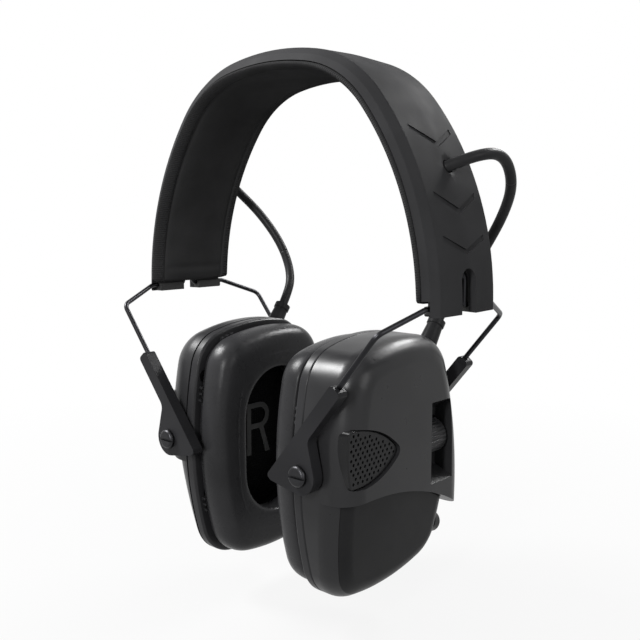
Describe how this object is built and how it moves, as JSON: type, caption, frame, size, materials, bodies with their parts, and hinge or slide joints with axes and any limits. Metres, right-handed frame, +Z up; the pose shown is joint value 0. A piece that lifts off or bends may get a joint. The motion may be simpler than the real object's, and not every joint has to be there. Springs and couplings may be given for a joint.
{
  "type": "earmuff hearing protector",
  "caption": "Electronic earmuff: a sprung headband carries padded oval ear cups on wire yokes with sliding arms, a volume dial and cable loops.",
  "frame": {"origin": "centre of the head pad's underside at the crown", "axes": "+X to the wearer's left, -Y to the wearer's front, +Z up from the crown"},
  "size_m": [0.1622, 0.0927, 0.2126],
  "materials": {
    "cover": "satin soft-touch",
    "shell": "satin moulded",
    "rim": "satin moulded",
    "arm": "satin moulded",
    "inner_plastic": "moulded",
    "pad": "padded synthetic leather",
    "cushion": "padded synthetic leather",
    "liner": "black cloth over foam",
    "letter": "printed light grey",
    "wire": "black coated spring wire",
    "spring_steel": "brushed",
    "screw": "blackened",
    "cable": "smooth black rubber",
    "boot": "black rubber",
    "dial": "grey ribbed rubber",
    "grille": "gloss black",
    "board": "green laminate",
    "speaker": "moulded with metal magnet",
    "capsule": "plain",
    "socket": "black",
    "contact": "nickel plated",
    "cell": "plain sleeve"
  },
  "bodies": {
    "headband": {"outer_cover": "cover", "head_pad": "pad", "spring_band": "spring_steel", "band_rivets": "spring_steel", "band_lead": "cable", "end_block_left": "inner_plastic", "end_block_right": "inner_plastic", "cable_left": "cable", "cable_right": "cable"},
    "yoke_left": {"yoke_wire_left": "wire"},
    "yoke_right": {"yoke_wire_right": "wire"},
    "carrier_left": {"arm_rear_left": "arm", "arm_front_left": "arm"},
    "carrier_right": {"arm_rear_right": "arm", "arm_front_right": "arm"},
    "cup_left": {"cup_shell_left": "shell", "cup_rim_left": "rim", "cushion_plate_left": "rim", "ear_cushion_left": "cushion", "ear_liner_left": "liner", "side_letter_left": "letter", "speaker_left": "speaker", "circuit_board_left": "board", "mic_grille_left": "grille", "mic_capsule_left": "capsule", "strain_relief_left": "boot", "shell_screws_left": "screw", "pivot_screws_left": "screw", "potentiometer": "inner_plastic", "battery_tray": "inner_plastic", "battery_contacts": "contact", "batteries": "cell", "jack_socket": "socket"},
    "cup_right": {"cup_shell_right": "shell", "cup_rim_right": "rim", "cushion_plate_right": "rim", "ear_cushion_right": "cushion", "ear_liner_right": "liner", "side_letter_right": "letter", "speaker_right": "speaker", "circuit_board_right": "board", "mic_grille_right": "grille", "mic_capsule_right": "capsule", "strain_relief_right": "boot", "shell_screws_right": "screw", "pivot_screws_right": "screw"},
    "dial": {"volume_dial": "dial"},
    "door": {"battery_door": "shell"}
  },
  "joints": [
    {"name": "yoke_swing_left", "type": "hinge", "parent": "headband", "child": "yoke_left", "pos_m": [0.0757, 0, -0.087], "axis": [0, 1, 0], "range_deg": [0, 7], "deforming": ["cable_left"]},
    {"name": "yoke_swing_right", "type": "hinge", "parent": "headband", "child": "yoke_right", "pos_m": [-0.0757, 0, -0.087], "axis": [0, 1, 0], "range_deg": [-7, 0], "deforming": ["cable_right"]},
    {"name": "carrier_slide_left", "type": "slide", "parent": "yoke_left", "child": "carrier_left", "axis": [-0.6353, 0, -0.7723], "range_m": [0, 0.018], "deforming": ["cable_left"]},
    {"name": "carrier_slide_right", "type": "slide", "parent": "yoke_right", "child": "carrier_right", "axis": [-0.6353, 0, 0.7723], "range_m": [-0.018, 0], "deforming": ["cable_right"]},
    {"name": "cup_tilt_left", "type": "hinge", "parent": "carrier_left", "child": "cup_left", "pos_m": [0.03731, 0, -0.14784], "axis": [0, -1, 0], "range_deg": [-12, 12], "deforming": ["cable_left"]},
    {"name": "cup_tilt_right", "type": "hinge", "parent": "carrier_right", "child": "cup_right", "pos_m": [-0.03731, 0, -0.14784], "axis": [0, -1, 0], "range_deg": [-12, 12], "deforming": ["cable_right"]},
    {"name": "dial_turn", "type": "hinge", "parent": "cup_left", "child": "dial", "pos_m": [0.047, 0.022, -0.1445], "axis": [0, 1, 0], "range_deg": [0, 270]},
    {"name": "battery_door_lift", "type": "slide", "parent": "cup_left", "child": "door", "axis": [1, 0, 0], "range_m": [0, 0.015]}
  ]
}
